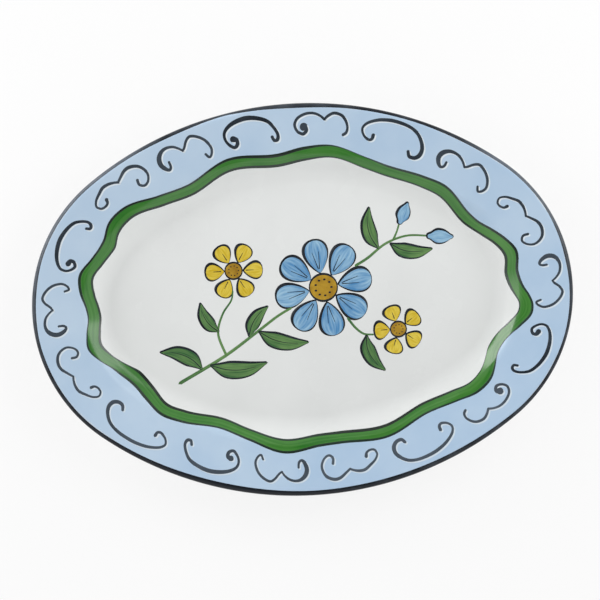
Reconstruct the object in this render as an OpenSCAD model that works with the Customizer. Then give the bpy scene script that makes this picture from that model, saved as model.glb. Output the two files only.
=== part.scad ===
// Oval serving platter of glazed earthenware with a painted rim.
// Millimetres. The origin is under the middle of the platter, on the surface it stands on.

/* [Platter] */
// Length over the lip
platter_length = 400; // [370:1:430]
// Width over the lip
platter_width = 290; // [270:1:320]
// Thickness of the fired clay
clay_t = 5.5; // [4:0.1:6.5]

/* [Profile] */
// Slope of the rim, in degrees
rim_slope = 12; // [6:1:18]
// Width of the rim, along its slope
rim_run = 33; // [30:0.5:40]
// Slope of the wall between the rim and the floor, in degrees
wall_slope = 40; // [34:1:50]
// Straight length of the wall
wall_run = 8; // [5:0.5:12]
// Radius of the cove between the floor and the wall
cove_radius = 20; // [14:1:24]
// Radius of the shoulder between the wall and the rim
shoulder_radius = 9; // [8:0.5:12]

/* [Foot ring] */
// Height of the foot ring
foot_height = 3; // [2:0.1:5]
// Width of the ground face that the platter stands on
foot_face = 4; // [3:0.5:6]
// Distance from the edge of the floor to the foot ring
foot_setback = 4; // [2:0.5:10]
// How far each flank of the foot ring leans
foot_flare = 1; // [0.5:0.1:2]

/* [Glaze and colours] */
// Thickness of the white glaze
glaze_t = 0.5; // [0.3:0.05:0.8]
// Thickness of each coat of colour
colour_t = 0.2; // [0.1:0.05:0.4]
// Width of the dark line outside the green band
outer_line = 1.5; // [0.8:0.1:2.5]
// Width of the dark line inside the green band
inner_line = 1.1; // [0.6:0.1:2]
// How far the off-white print lies to the right of the scrolls
highlight_right = 0.9; // [0.5:0.1:1.5]
// How far the off-white print lies below the scrolls
highlight_down = 0.9; // [0.5:0.1:1.5]
// Width of the dark outline of the flower spray
ink_line = 0.9; // [0.5:0.1:1.5]

/* [Hidden] */
$fn = 180;

clay_white = [0.87, 0.86, 0.82];
glaze_white = [0.88, 0.88, 0.88];
rim_blue = [0.70, 0.79, 0.87];
band_green = [0.28, 0.51, 0.24];
ink_dark = [0.14, 0.17, 0.20];
print_white = [0.93, 0.92, 0.88];
leaf_green = [0.24, 0.42, 0.24];
petal_blue = [0.42, 0.64, 0.79];
petal_yellow = [0.81, 0.71, 0.14];
eye_ochre = [0.66, 0.52, 0.12];

// Four-centred oval: the centres and the points where the arcs meet make 3-4-5 triangles
oval_unit = (platter_length - platter_width) / 4;
end_centre = 3 * oval_unit;
side_centre = 4 * oval_unit;
end_radius = platter_width / 2 - oval_unit;
side_radius = end_radius + 5 * oval_unit;
split_angle = atan2(4, 3);
end_turn = 60;
side_turn = 40;

// Face of the clay from the edge of the floor outwards, with z = 0 on the floor
cove_end = cove_radius * [sin(wall_slope), 1 - cos(wall_slope)];
wall_end = cove_end + wall_run * [cos(wall_slope), sin(wall_slope)];
shoulder_centre = wall_end + shoulder_radius * [sin(wall_slope), -cos(wall_slope)];
rim_start = shoulder_centre + shoulder_radius * [-sin(rim_slope), cos(rim_slope)];
rim_end = rim_start + rim_run * [cos(rim_slope), sin(rim_slope)];
lip_radius = clay_t / 2;
lip_centre = rim_end + lip_radius * [sin(rim_slope), -cos(rim_slope)];
cove_steps = 6;
shoulder_steps = 5;
lip_steps = 12;
line_steps = 10;

// Places across the rim, as distances from the outermost edge
finished_t = glaze_t + colour_t;
floor_inset = lip_centre.x + lip_radius + finished_t;
shoulder_inset = floor_inset - rim_start.x;
floor_z = foot_height + clay_t;
foot_width = foot_face + 2 * foot_flare;
floor_lap = 6;
all_heights = floor_z + rim_end.y + clay_t;
edge_points = 160;
floor_points = 96;
profile_grid = 0.001;

// The painting is written for a rim of 33 mm and a platter 290 mm wide, and grows with them
rim_scale = rim_run / 33;
spray_scale = platter_width / 290;

// Green band: direction in degrees, distance inwards from the shoulder, width
wave = [
    [8, 7.5, 6], [21, 4, 7], [40, 12, 5.5], [51, 13.5, 7], [61, 5.5, 8], [72, 6, 6],
    [83, -1.5, 9], [94, 4, 6], [103, 0.5, 7.5], [113, 8, 6], [126, -2.5, 9], [145, 5.5, 7.5],
    [162, 0.5, 9], [180, 8.5, 7.5], [187, 8.5, 7.5], [200, 3.5, 7], [218, 12.5, 4.5], [231, 14, 6],
    [242, 5, 7.5], [253, 10, 6], [265, 1, 8.5], [275, 5, 6], [285, 1, 7], [295, 6, 6.5],
    [306, 0, 7], [322, 10, 5], [331, 10.5, 5.5], [349, -2, 8],
];

// Lip line: direction in degrees, width seen from above
lip_widths = [
    [0, 1.8], [50, 1.5], [89, 3], [99, 1.5], [108, 2.3], [150, 1.6],
    [200, 2.2], [262, 3.6], [286, 3.2], [340, 1.7],
];

// Brush strokes of the scrolls: distance along the rim, distance from the edge, width
hooked_left = [
    [-14.5, 24.5, 1.4], [-16.5, 27.5, 1.5], [-19, 25.5, 1.5], [-20, 21, 1.6], [-17.5, 15, 1.7],
    [-13, 10.5, 1.7], [-8, 8.3, 1.7], [-4.5, 10.3, 1.6], [-1.5, 14.3, 1.5], [0.5, 16, 1.3],
];
hooked_right = [
    [0.5, 16, 1.3], [3, 13, 1.4], [6.5, 10.3, 1.6], [11, 9.3, 1.8], [15, 10.3, 2.3], [18.3, 13.5, 2.9],
    [19.5, 18, 2.9], [18, 22.5, 2.4], [15.5, 24.7, 1.8], [13.5, 23, 1.6], [13.2, 19.5, 1.5],
];
curled_left = [
    [-13.5, 19.5, 1.8], [-13, 23, 1.7], [-16, 25.5, 1.6], [-20, 24, 1.5], [-22.5, 19.5, 1.6],
    [-21.5, 14.5, 1.8], [-18.5, 10.5, 2], [-13.5, 8.2, 2.2], [-9, 8.5, 2], [-4.5, 10.8, 1.7],
    [-1, 12.7, 1.5],
];
curled_right = [
    [-1, 12.7, 1.5], [2, 11, 1.6], [6, 9.5, 1.9], [10.5, 9.2, 2], [15, 11, 1.8], [19.5, 13.2, 1.5],
    [22.3, 16.5, 1.4], [21, 20, 1.5], [17.5, 21, 1.5], [14.5, 20, 1.7], [13.5, 17.8, 2.2],
];
dotted_left = [
    [-17, 22.3, 1.8], [-19, 20.5, 1.7], [-19.5, 16.5, 1.5], [-17.5, 11.5, 1.7],
    [-14, 8.2, 1.8], [-9, 7.2, 1.8], [-5, 9.3, 1.7], [-2.3, 12, 1.5],
];
dotted_right = [
    [-2.3, 12, 1.5], [1.5, 9.3, 1.5], [6, 7.8, 1.6], [11.5, 8.3, 1.7], [17, 11.3, 1.7], [19.3, 16, 1.7],
    [17.5, 20.8, 1.7], [13.5, 23, 2], [11, 20.5, 2.6], [12.5, 18, 4.6],
];
open_arch = [
    [-14, 24.5, 1.9], [-16, 27.5, 2.2], [-20, 27.5, 2.4], [-23, 24.5, 2.7], [-23.3, 19.5, 2.5],
    [-20.5, 14, 2.2], [-15.5, 9.3, 2], [-8, 6.7, 2], [2, 6, 2.2], [10, 7, 2.1], [16, 9, 1.9], [21, 12, 1.7],
    [23.3, 16, 1.5], [21.5, 20.5, 1.5], [17.5, 23.2, 1.7], [15, 22.3, 1.9], [14.5, 19.5, 2.2],
];
dotted_arch = [
    [-15, 23.5, 1.8], [-16.5, 26.2, 2], [-19, 25.5, 2.2], [-19.3, 21.5, 1.9], [-16.5, 16, 1.9],
    [-12.5, 11.5, 2.2], [-6, 8.5, 2.5], [1.5, 7, 2.8], [9, 7.8, 2.7], [15, 10, 2.3], [19, 13.5, 1.9],
    [20, 18, 1.7], [18.5, 22.5, 1.7], [15, 26, 2], [12, 24.5, 2.3], [11.8, 21.3, 2.6], [14, 20, 3.6],
];
hooked = [hooked_left, hooked_right];
curled = [curled_left, curled_right];
dotted = [dotted_left, dotted_right];
arched = [open_arch];
arched_dot = [dotted_arch];

// Scrolls round the rim: direction, strokes, shift inwards, tilt in degrees, stretch along and across,
// weight of the stroke
double_scroll_places = [
    [1.7, hooked, -1.3, -3.5, 0.95, 0.95, 1.35],
    [32, curled, 4.5, 5, 1, 1, 1.3],
    [58, hooked, 2.2, 0, 1.07, 0.88, 1.45],
    [85, dotted, 0, 0, 1, 1, 1.4],
    [110, hooked, 0, 0, 1, 1, 1.45],
    [123, curled, 0, 0, 1, 1, 1.4],
    [178.5, hooked, -0.7, 0, 0.96, 0.97, 1.35],
    [208.5, curled, 3.2, 5, 1, 0.97, 1.25],
    [264.5, hooked, 1.5, 0, 0.98, 0.97, 1.35],
    [277, curled, 4, 6, 0.95, 1.05, 1.35],
    [304.3, dotted, 3.5, 0, 1, 0.83, 1.3],
];
arch_scroll_places = [
    [72, arched, 0, 0, 1, 1, 1.4],
    [97.5, arched_dot, 0, 0, 1, 1, 1.4],
    [149.5, arched_dot, 0.6, 6, 1.04, 0.85, 1.3],
    [237, arched, 1.8, 0, 1.09, 0.87, 1.35],
    [251.5, arched_dot, 2.5, 2, 1.08, 0.93, 1.3],
    [291, arched, 2, 4.5, 1, 0.9, 1.4],
    [331, arched_dot, 1.5, 0, 1.06, 0.85, 1.2],
];
scroll_line = 18;
scroll_steps = 2;

// Flower spray on the floor. Stems: points with widths
stems = [
    [[-92, -56, 2.6], [-60, -39, 2.4], [-36, -23, 2.2], [-20, -12, 2]],
    [[50, 28, 2], [64, 38, 1.8], [80, 43, 1.6], [96, 42, 1.4]],
    [[-59, -38, 2], [-64, -22, 1.8], [-60, -8, 1.6], [-53, 2, 1.4]],
    [[38, -23, 1.8], [44, -28, 1.6], [51, -29, 1.4]],
    [[70, 41, 1.6], [73, 47, 1.4], [75, 53, 1.4]],
];
// Leaves: base point, direction in degrees, length, width, bend in degrees
leaves = [
    [-78, -47, 125, 32, 11, 30], [-70, -45.5, -25, 40, 12, 25], [-41, -24.5, 80, 25, 9, -25],
    [-33, -22.5, -40, 36, 11, 25], [58, 35.5, 130, 30, 10, -30], [68, 37.5, -40, 30, 10, 30],
    [46, -30, -100, 28, 10, 35], [-64, -20, 150, 24, 9, -30],
];
// Buds, written as leaves are
buds = [[97, 42, -5, 16, 10, 0], [75.5, 54, 65, 14, 9, 0]];
// Flowers: centre, reach, number of petals, width of a petal, first direction, radius of the eye
blue_flower = [16, 8, 36, 8, 18, 10, 10];
yellow_flowers = [[-50, 24, 21, 6, 12.5, 0, 6], [70, -26, 18, 5, 13, 36, 5.5]];
leaf_widths = [0.08, 0.95, 0.85, 0.06];
petal_widths = [0.35, 0.9, 1, 0.5];
bud_widths = [0.4, 1, 0.9, 0.2];
blade_places = [0, 0.3, 0.66, 1];
petal_gap = 1.5;
blade_steps = 3;
vein_t = 0.8;

function reversed(list) = [for (i = [len(list) - 1 : -1 : 0]) list[i]];

// Point of the oval, by the direction of its outward normal and the distance from the edge
function on_end(phi) = abs(sin(phi)) < sin(split_angle);
function rim_point(phi, inset) =
    on_end(phi)
        ? [sign(cos(phi)) * end_centre, 0] + (end_radius - inset) * [cos(phi), sin(phi)]
        : [0, -sign(sin(phi)) * side_centre] + (side_radius - inset) * [cos(phi), sin(phi)];

// Distance along the line that the scrolls follow, against direction
end_run = (end_radius - rim_scale * scroll_line) * split_angle * PI / 180;
side_run = (side_radius - rim_scale * scroll_line) * (180 - 2 * split_angle) * PI / 180;
rim_runs = [
    [-split_angle, -end_run],
    [split_angle, end_run],
    [180 - split_angle, end_run + side_run],
    [180 + split_angle, 3 * end_run + side_run],
    [360 - split_angle, 3 * end_run + 2 * side_run],
    [360 + split_angle, 5 * end_run + 2 * side_run],
];
rim_directions = [for (row = rim_runs) [row[1], row[0]]];
function rim_direction(phi, along) = lookup(lookup(phi, rim_runs) + along, rim_directions);

// Values that ease from row to row round the oval
function row_after(rows, i) = i + 1 < len(rows) ? rows[i + 1] : rows[0] + [360, 0, 0];
function eased_from(rows, phi, i, column) =
    let (a = rows[i], b = row_after(rows, i), t = (phi - a[0]) / (b[0] - a[0]))
    a[column] + (b[column] - a[column]) * (1 - cos(180 * t)) / 2;
function eased(rows, phi, column = 1) =
    let (turned = phi < rows[0][0] ? phi + 360 : phi)
    let (past = [for (i = [0 : len(rows) - 1]) if (rows[i][0] <= turned) i])
    eased_from(rows, turned, past[len(past) - 1], column);

// Edges of the colours, as distances from the edge of the platter
function band_edge(phi, side) =
    shoulder_inset + rim_scale * (eased(wave, phi) + side * eased(wave, phi, 2) / 2);
function green_outer(phi) = band_edge(phi, -1);
function green_inner(phi) = band_edge(phi, 1);
function line_outer(phi) = green_outer(phi) - outer_line;
function line_inner(phi) = green_inner(phi) + inner_line;
function lip_inner(phi) = rim_scale * eased([for (row = lip_widths) [row[0], row[1], 0]], phi);

// Smooth curve through points, each with a width as its last value
function between(a, b, c, d, t) =
    b + t / 2 * (c - a + t * (2 * a - 5 * b + 4 * c - d + t * (3 * (b - c) + d - a)));
function smooth(points, steps) =
    let (last = len(points) - 1)
    [
        for (i = [0 : last - 1], j = [0 : steps - 1])
            between(points[max(i - 1, 0)], points[i], points[i + 1], points[min(i + 2, last)], j / steps),
        points[last],
    ];

// Outline of a brush stroke: both sides of the curve and a round end at each tip
function heading(line, i) =
    let (d = line[min(i + 1, len(line) - 1)] - line[max(i - 1, 0)])
    atan2(d.y, d.x);
function beside(point, angle, reach) = [point.x, point.y] + reach * [cos(angle), sin(angle)];
function side_points(line, turn, extra) =
    [for (i = [0 : len(line) - 1]) beside(line[i], heading(line, i) + turn, line[i][2] / 2 + extra)];
function tip_points(point, angle, extra) =
    [for (turn = [45, 0, -45]) beside(point, angle + turn, point[2] / 2 + extra)];
function stroke(points, steps, extra = 0) =
    let (line = smooth(points, steps), last = len(line) - 1)
    concat(
        side_points(line, 90, extra),
        tip_points(line[last], heading(line, last), extra),
        reversed(side_points(line, -90, extra)),
        tip_points(line[0], heading(line, 0) + 180, extra)
    );

// Stroke of a scroll, bent along the rim at its place
function placed(point, place) =
    let (along = point.x * place[4])
    let (across = scroll_line + (point.y - scroll_line) * place[5] + place[2] + along * tan(place[3]))
    let (spot = rim_point(rim_direction(place[0], rim_scale * along), rim_scale * across))
    [spot.x, spot.y, rim_scale * place[6] * point[2]];
function scroll_stroke(points, place) = stroke([for (point = points) placed(point, place)], scroll_steps);

// Leaf, petal or bud as a stroke that swells: place is its base, direction, length, width and bend
function on_blade(place, share) =
    let (reach = place[3] * share, angle = place[2] + place[5] * share)
    spray_scale * [place.x + reach * cos(angle), place.y + reach * sin(angle)];
function blade(place, widths) = [
    for (i = [0 : len(widths) - 1])
        concat(on_blade(place, blade_places[i]), spray_scale * place[4] * widths[i]),
];
function vein(place) = [
    for (i = [0 : len(blade_places) - 2])
        concat(on_blade(place, blade_places[i]), spray_scale * vein_t),
];
function petals(flower) = [
    for (i = [0 : flower[3] - 1])
        let (angle = flower[5] + 360 * i / flower[3])
        let (base = flower[6] + petal_gap + flower[4] * petal_widths[0] / 2)
        let (length = flower[2] - base - flower[4] * petal_widths[3] / 2)
        [flower.x + base * cos(angle), flower.y + base * sin(angle), angle, length, flower[4], 0],
];

// Lines of the profile, at a height over the clay
face_path = concat(
    [for (i = [0 : cove_steps])
        let (a = wall_slope * i / cove_steps)
        [cove_radius * sin(a), cove_radius * (1 - cos(a)), a]],
    [for (i = [0 : shoulder_steps])
        let (a = wall_slope + (rim_slope - wall_slope) * i / shoulder_steps)
        [shoulder_centre.x - shoulder_radius * sin(a), shoulder_centre.y + shoulder_radius * cos(a), a]],
    [[rim_end.x, rim_end.y, rim_slope]]
);
function face_line(h) = [for (s = face_path) [s.x - h * sin(s[2]), s.y + h * cos(s[2])]];
function back_line(h) = face_line(-clay_t - h);
function lip_arc(h, steps) = [
    for (i = [1 : steps])
        let (b = rim_slope + 90 - 180 * i / lip_steps)
        lip_centre + (lip_radius + h) * [cos(b), sin(b)],
];

function clay_profile() = concat(
    [[-floor_lap, 0]],
    face_line(0),
    lip_arc(0, lip_steps),
    reversed([for (i = [0 : len(face_path) - 2]) back_line(0)[i]]),
    [[-floor_lap, -clay_t]]
);
function glaze_profile() = concat(
    [[-floor_lap, glaze_t]],
    face_line(glaze_t),
    lip_arc(glaze_t, lip_steps),
    reversed(concat(face_line(0), lip_arc(0, lip_steps))),
    [[-floor_lap, 0]]
);
function skirt_profile() = concat(
    [[-foot_setback, -clay_t]],
    back_line(0),
    reversed(back_line(glaze_t)),
    [[-foot_setback, -clay_t - glaze_t]]
);
function foot_profile() =
    let (outer = -foot_setback, inner = -foot_setback - foot_width, top = -clay_t)
    [
        [outer, top],
        [outer, top - glaze_t],
        [outer - foot_flare, top - foot_height],
        [inner + foot_flare, top - foot_height],
        [inner, top - glaze_t],
        [inner, top],
    ];
function coat_profile(bottom, top) = concat(
    face_line(top),
    lip_arc(top, line_steps),
    reversed(concat(face_line(bottom), lip_arc(bottom, line_steps)))
);
function band_profile(bottom, top) = concat(face_line(top), reversed(face_line(bottom)));
function rim_profile(bottom, top) =
    let (lift = [-sin(rim_slope), cos(rim_slope)])
    [rim_start + bottom * lift, rim_end + bottom * lift, rim_end + top * lift, rim_start + top * lift];

// Sweeps a profile round the oval. Each half arc starts where two arcs meet and is cut off at an axis
// of the oval, where it meets its mirror image. The points are on a grid, so that the arcs meet exactly.
function on_grid(length) = profile_grid * round(length / profile_grid);
module turned(profile, radius, from, angle) {
    translate([0, 0, floor_z])
        rotate([0, 0, from])
            rotate_extrude(angle = angle)
                polygon([for (p = profile) [radius + on_grid(p.x - floor_inset), on_grid(p.y)]]);
}
module tall_prism(points) {
    translate([0, 0, -all_heights])
        linear_extrude(3 * all_heights)
            polygon(points);
}
module quarter(side) {
    far = [platter_length, side * platter_width];
    intersection() {
        children();
        tall_prism([[0, 0], [far.x, 0], far, [0, far.y]]);
    }
}
module oval_sweep(profile) {
    for (along = [0, 1], across = [0, 1])
        mirror([along, 0, 0])
            mirror([0, across, 0]) {
                quarter(-1)
                    translate([end_centre, 0, 0])
                        turned(profile, end_radius, -split_angle, end_turn);
                quarter(1)
                    translate([0, -side_centre, 0])
                        turned(profile, side_radius, split_angle, side_turn);
            }
}

// Flat plate that closes the middle of a sweep, from half a lap inside its edge
module floor_plate(inset, bottom, height) {
    translate([0, 0, floor_z + bottom])
        linear_extrude(height)
            polygon([
                for (i = [0 : floor_points - 1])
                    rim_point(360 * i / floor_points, inset + floor_lap / 2),
            ]);
}

// Lines round the rim that the colours are cut by
rim_length = 4 * end_run + 2 * side_run;
function edge_direction(i) = lookup(rim_length * i / edge_points, rim_directions);
function round_line(inset_at) =
    [for (i = [0 : edge_points - 1]) let (phi = edge_direction(i)) rim_point(phi, inset_at(phi))];
lip_inner_line = round_line(function (phi) lip_inner(phi));
line_outer_line = round_line(function (phi) line_outer(phi));
green_outer_line = round_line(function (phi) green_outer(phi));
green_inner_line = round_line(function (phi) green_inner(phi));
line_inner_line = round_line(function (phi) line_inner(phi));

module band_coat(outer_points, inner_points) {
    difference() {
        intersection() {
            oval_sweep(band_profile(glaze_t, finished_t));
            tall_prism(outer_points);
        }
        tall_prism(inner_points);
    }
}

module scroll_shapes(places) {
    for (place = places)
        linear_extrude(2 * all_heights)
            for (points = place[1])
                polygon(scroll_stroke(points, place));
}
module rim_coat() {
    oval_sweep(rim_profile(finished_t, finished_t + colour_t));
}

// Colour on the floor, with everything that is drawn over it left open
module floor_coat() {
    translate([0, 0, floor_z + glaze_t])
        linear_extrude(colour_t)
            children();
}
module blades(places, widths, extra = 0) {
    for (place = places)
        polygon(stroke(blade(place, widths), blade_steps, extra));
}
module eye(flower, extra = 0) {
    translate(spray_scale * [flower.x, flower.y])
        circle(spray_scale * flower[6] + extra);
}
module outlined(extra) {
    blades(leaves, leaf_widths, extra);
    blades(buds, bud_widths, extra);
    for (flower = concat([blue_flower], yellow_flowers)) {
        blades(petals(flower), petal_widths, extra);
        eye(flower, extra);
    }
}
module veins() {
    for (place = leaves)
        polygon(stroke(vein(place), blade_steps));
}

module clay_body() {
    color(clay_white) {
        oval_sweep(clay_profile());
        floor_plate(floor_inset, -clay_t, clay_t);
    }
}
module foot_ring() {
    color(clay_white)
        oval_sweep(foot_profile());
}
module face_glaze() {
    color(glaze_white) {
        oval_sweep(glaze_profile());
        floor_plate(floor_inset, 0, glaze_t);
    }
}
module back_glaze_skirt() {
    color(glaze_white)
        oval_sweep(skirt_profile());
}
module back_glaze_centre() {
    inner = foot_setback + foot_width;
    bottom = -clay_t - glaze_t;
    color(glaze_white) {
        oval_sweep([
            [-inner - floor_lap, bottom],
            [-inner, bottom],
            [-inner, -clay_t],
            [-inner - floor_lap, -clay_t],
        ]);
        floor_plate(floor_inset + inner, bottom, glaze_t);
    }
}
module blue_rim_colour() {
    color(rim_blue)
        difference() {
            intersection() {
                oval_sweep(coat_profile(glaze_t, finished_t));
                tall_prism(lip_inner_line);
            }
            tall_prism(line_outer_line);
        }
}
module green_wave_band() {
    color(band_green)
        band_coat(green_outer_line, green_inner_line);
}
module wave_outline_outer() {
    color(ink_dark)
        band_coat(line_outer_line, green_outer_line);
}
module wave_outline_inner() {
    color(ink_dark)
        band_coat(green_inner_line, line_inner_line);
}
module lip_line() {
    color(ink_dark)
        difference() {
            oval_sweep(coat_profile(glaze_t, finished_t));
            tall_prism(lip_inner_line);
        }
}
module double_scrolls() {
    color(ink_dark)
        intersection() {
            rim_coat();
            scroll_shapes(double_scroll_places);
        }
}
module arch_scrolls() {
    color(ink_dark)
        intersection() {
            rim_coat();
            scroll_shapes(arch_scroll_places);
        }
}
module scroll_highlights() {
    color(print_white)
        difference() {
            intersection() {
                rim_coat();
                translate([highlight_right, -highlight_down, 0])
                    scroll_shapes(concat(double_scroll_places, arch_scroll_places));
            }
            scroll_shapes(concat(double_scroll_places, arch_scroll_places));
        }
}
module spray_stems() {
    color(leaf_green)
        floor_coat()
            difference() {
                for (points = stems)
                    polygon(stroke(spray_scale * points, blade_steps));
                outlined(ink_line);
            }
}
module spray_leaves() {
    color(leaf_green)
        floor_coat()
            difference() {
                blades(leaves, leaf_widths);
                veins();
            }
}
module blue_petals() {
    color(petal_blue)
        floor_coat() {
            blades(petals(blue_flower), petal_widths);
            blades(buds, bud_widths);
        }
}
module yellow_petals() {
    color(petal_yellow)
        floor_coat()
            for (flower = yellow_flowers)
                blades(petals(flower), petal_widths);
}
module flower_eyes() {
    color(eye_ochre)
        floor_coat()
            for (flower = concat([blue_flower], yellow_flowers))
                eye(flower);
}
module spray_ink_lines() {
    color(ink_dark)
        floor_coat() {
            difference() {
                outlined(ink_line);
                outlined(0);
            }
            veins();
        }
}

clay_body();
foot_ring();
face_glaze();
back_glaze_skirt();
back_glaze_centre();
blue_rim_colour();
green_wave_band();
wave_outline_outer();
wave_outline_inner();
lip_line();
double_scrolls();
arch_scrolls();
scroll_highlights();
spray_stems();
spray_leaves();
blue_petals();
yellow_petals();
flower_eyes();
spray_ink_lines();
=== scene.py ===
import math
import bpy
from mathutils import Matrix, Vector


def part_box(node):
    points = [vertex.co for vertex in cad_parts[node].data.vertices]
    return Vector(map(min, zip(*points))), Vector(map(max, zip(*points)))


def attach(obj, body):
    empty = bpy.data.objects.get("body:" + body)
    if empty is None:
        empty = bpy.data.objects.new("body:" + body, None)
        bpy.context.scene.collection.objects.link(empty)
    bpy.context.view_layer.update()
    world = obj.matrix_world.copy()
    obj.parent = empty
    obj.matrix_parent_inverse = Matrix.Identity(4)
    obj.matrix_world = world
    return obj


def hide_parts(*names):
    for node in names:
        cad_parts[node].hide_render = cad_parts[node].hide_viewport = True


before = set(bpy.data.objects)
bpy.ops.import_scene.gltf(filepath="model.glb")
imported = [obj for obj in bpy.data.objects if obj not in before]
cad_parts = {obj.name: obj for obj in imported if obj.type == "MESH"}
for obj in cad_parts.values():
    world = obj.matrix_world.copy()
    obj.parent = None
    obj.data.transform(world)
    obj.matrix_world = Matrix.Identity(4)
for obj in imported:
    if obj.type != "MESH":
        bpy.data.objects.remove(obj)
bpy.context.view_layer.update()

mm = 0.001  # sizes below are millimetres, angles are degrees
scene = bpy.context.scene
scene.view_settings.view_transform = "Standard"
print("frame loaded,", len(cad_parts), "nodes")


# oval of four arcs and the turned profile, as the frame has them
lipLow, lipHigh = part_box("lip_line")
platter = dict(
    length=round((lipHigh.x - lipLow.x) / mm), width=round((lipHigh.y - lipLow.y) / mm),
    clay=5.5, glaze=0.5, paint=0.2, foot=3,
    rimSlope=12, rimRun=33, wallSlope=40, wallRun=8, coveRadius=20, shoulderRadius=9,
    around=600, middle=100,  # points round the oval, inset where the flat middle begins
    coveSteps=22, wallSteps=5, shoulderSteps=18, rimSteps=16, lipSteps=24, floorSteps=6,
)
ovalUnit = (platter["length"] - platter["width"]) / 4
endRadius = platter["width"] / 2 - ovalUnit
sideRadius = endRadius + 5 * ovalUnit
splitAngle = math.degrees(math.atan2(4, 3))


def along(angle, reach=1.0):
    return Vector((math.cos(math.radians(angle)), math.sin(math.radians(angle)))) * reach


def rimPoint(phi, inset):
    c, s = along(phi)
    if abs(s) < 0.8:
        return Vector((math.copysign(3 * ovalUnit, c), 0)) + along(phi, endRadius - inset)
    return Vector((0, -math.copysign(4 * ovalUnit, s))) + along(phi, sideRadius - inset)


wallTilt, rimTilt = platter["wallSlope"], platter["rimSlope"]
coveMid = Vector((0, platter["coveRadius"]))
coveEnd = coveMid + along(wallTilt - 90, platter["coveRadius"])
wallEnd = coveEnd + along(wallTilt, platter["wallRun"])
shoulderMid = wallEnd + along(wallTilt - 90, platter["shoulderRadius"])
rimStart = shoulderMid + along(rimTilt + 90, platter["shoulderRadius"])
rimEnd = rimStart + along(rimTilt, platter["rimRun"])
lipRadius = platter["clay"] / 2
lipMid = rimEnd + along(rimTilt - 90, lipRadius)
floorInset = lipMid.x + lipRadius + platter["glaze"] + platter["paint"]
shoulderInset = floorInset - rimStart.x
floorHeight = platter["foot"] + platter["clay"]


# cove, wall, shoulder and rim from the floor's edge outwards, lifted square to the surface
def faceLine(lift):
    line = []
    for i in range(platter["coveSteps"] + 1):
        tilt = wallTilt * i / platter["coveSteps"]
        line.append((coveMid + along(tilt - 90, platter["coveRadius"]), tilt))
    steps = platter["wallSteps"]
    line += [(coveEnd.lerp(wallEnd, i / steps), wallTilt) for i in range(1, steps)]
    for i in range(platter["shoulderSteps"] + 1):
        tilt = wallTilt + (rimTilt - wallTilt) * i / platter["shoulderSteps"]
        line.append((shoulderMid + along(tilt + 90, platter["shoulderRadius"]), tilt))
    steps = platter["rimSteps"]
    line += [(rimStart.lerp(rimEnd, i / steps), rimTilt) for i in range(1, steps + 1)]
    return [spot + along(tilt + 90, lift) for spot, tilt in line]


def toInset(spot):
    return Vector((floorInset - spot.x, 0, floorHeight + spot.y)) * mm


def lipArc(radius, first, last, steps):
    return [lipMid + along(first + (last - first) * i / steps, radius) for i in range(steps + 1)]


# runs along the line that the scrolls follow, against direction
scrollLine = 18
endRun = math.radians(splitAngle) * (endRadius - scrollLine)
sideRun = math.radians(180 - 2 * splitAngle) * (sideRadius - scrollLine)
rimLength = 4 * endRun + 2 * sideRun
runKnots = [(-splitAngle, -endRun)]
for turn, run in [(2 * splitAngle, 2 * endRun), (180 - 2 * splitAngle, sideRun)] * 3:
    runKnots.append((runKnots[-1][0] + turn, runKnots[-1][1] + run))


def lookUp(value, rows, column):
    for a, b in zip(rows, rows[1:]):
        if value <= b[column]:
            break
    share = (value - a[column]) / (b[column] - a[column])
    return a[1 - column] + (b[1 - column] - a[1 - column]) * share


def rimDirection(phi, run):
    return lookUp(lookUp(phi, runKnots, 0) + run, runKnots, 1)


# smooth line round the oval through rows of direction and values
def eased(rows, phi, column=1):
    count = len(rows)
    phi = (phi - rows[0][0]) % 360 + rows[0][0]
    start = max(i for i in range(count) if rows[i][0] <= phi)
    near = [(rows[i % count], i // count * 360) for i in range(start - 1, start + 3)]
    runs = [lookUp(row[0] + turn, runKnots, 0) for row, turn in near]
    values = [row[column] for row, _ in near]
    steps = [b - a for a, b in zip(runs, runs[1:])]
    rises = [(b - a) / step for a, b, step in zip(values, values[1:], steps)]
    slopes = []
    for (h, g), (d, e) in zip(zip(steps, steps[1:]), zip(rises, rises[1:])):
        slopes.append((d * g + e * h) / (h + g))
    t = (lookUp(phi, runKnots, 0) - runs[1]) / steps[1]
    bend = t * (1 - t) * ((1 - t) * slopes[0] - t * slopes[1]) * steps[1]
    return values[1] + (values[2] - values[1]) * t * t * (3 - 2 * t) + bend


# short ways to write node trees
def node(tree, kind, values=None, **settings):
    made = tree.nodes.new(kind)
    for name, value in settings.items():
        setattr(made, name, value)
    for socket, value in (values or {}).items():
        if isinstance(value, bpy.types.NodeSocket):
            tree.links.new(value, made.inputs[socket])
        else:
            made.inputs[socket].default_value = value
    return made


def calc(tree, operation, *values):
    return node(tree, "ShaderNodeMath", dict(enumerate(values)), operation=operation).outputs[0]


def vec(tree, operation, *values):
    return node(tree, "ShaderNodeVectorMath", dict(enumerate(values)), operation=operation).outputs[0]


def scaled(tree, vector, factor):
    return node(tree, "ShaderNodeVectorMath", {0: vector, "Scale": factor}, operation="SCALE").outputs[0]


def xyz(tree, x=0.0, y=0.0, z=0.0):
    return node(tree, "ShaderNodeCombineXYZ", {0: x, 1: y, 2: z}).outputs[0]


def newTree(name, kind, inputs, outputs):
    tree = bpy.data.node_groups.new(name, kind)
    for label, socketType, value in inputs:
        socket = tree.interface.new_socket(label, in_out="INPUT", socket_type=socketType)
        if value is not None:
            socket.default_value = value
    for label, socketType in outputs:
        tree.interface.new_socket(label, in_out="OUTPUT", socket_type=socketType)
    return tree, tree.nodes.new("NodeGroupInput").outputs, tree.nodes.new("NodeGroupOutput").inputs


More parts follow.
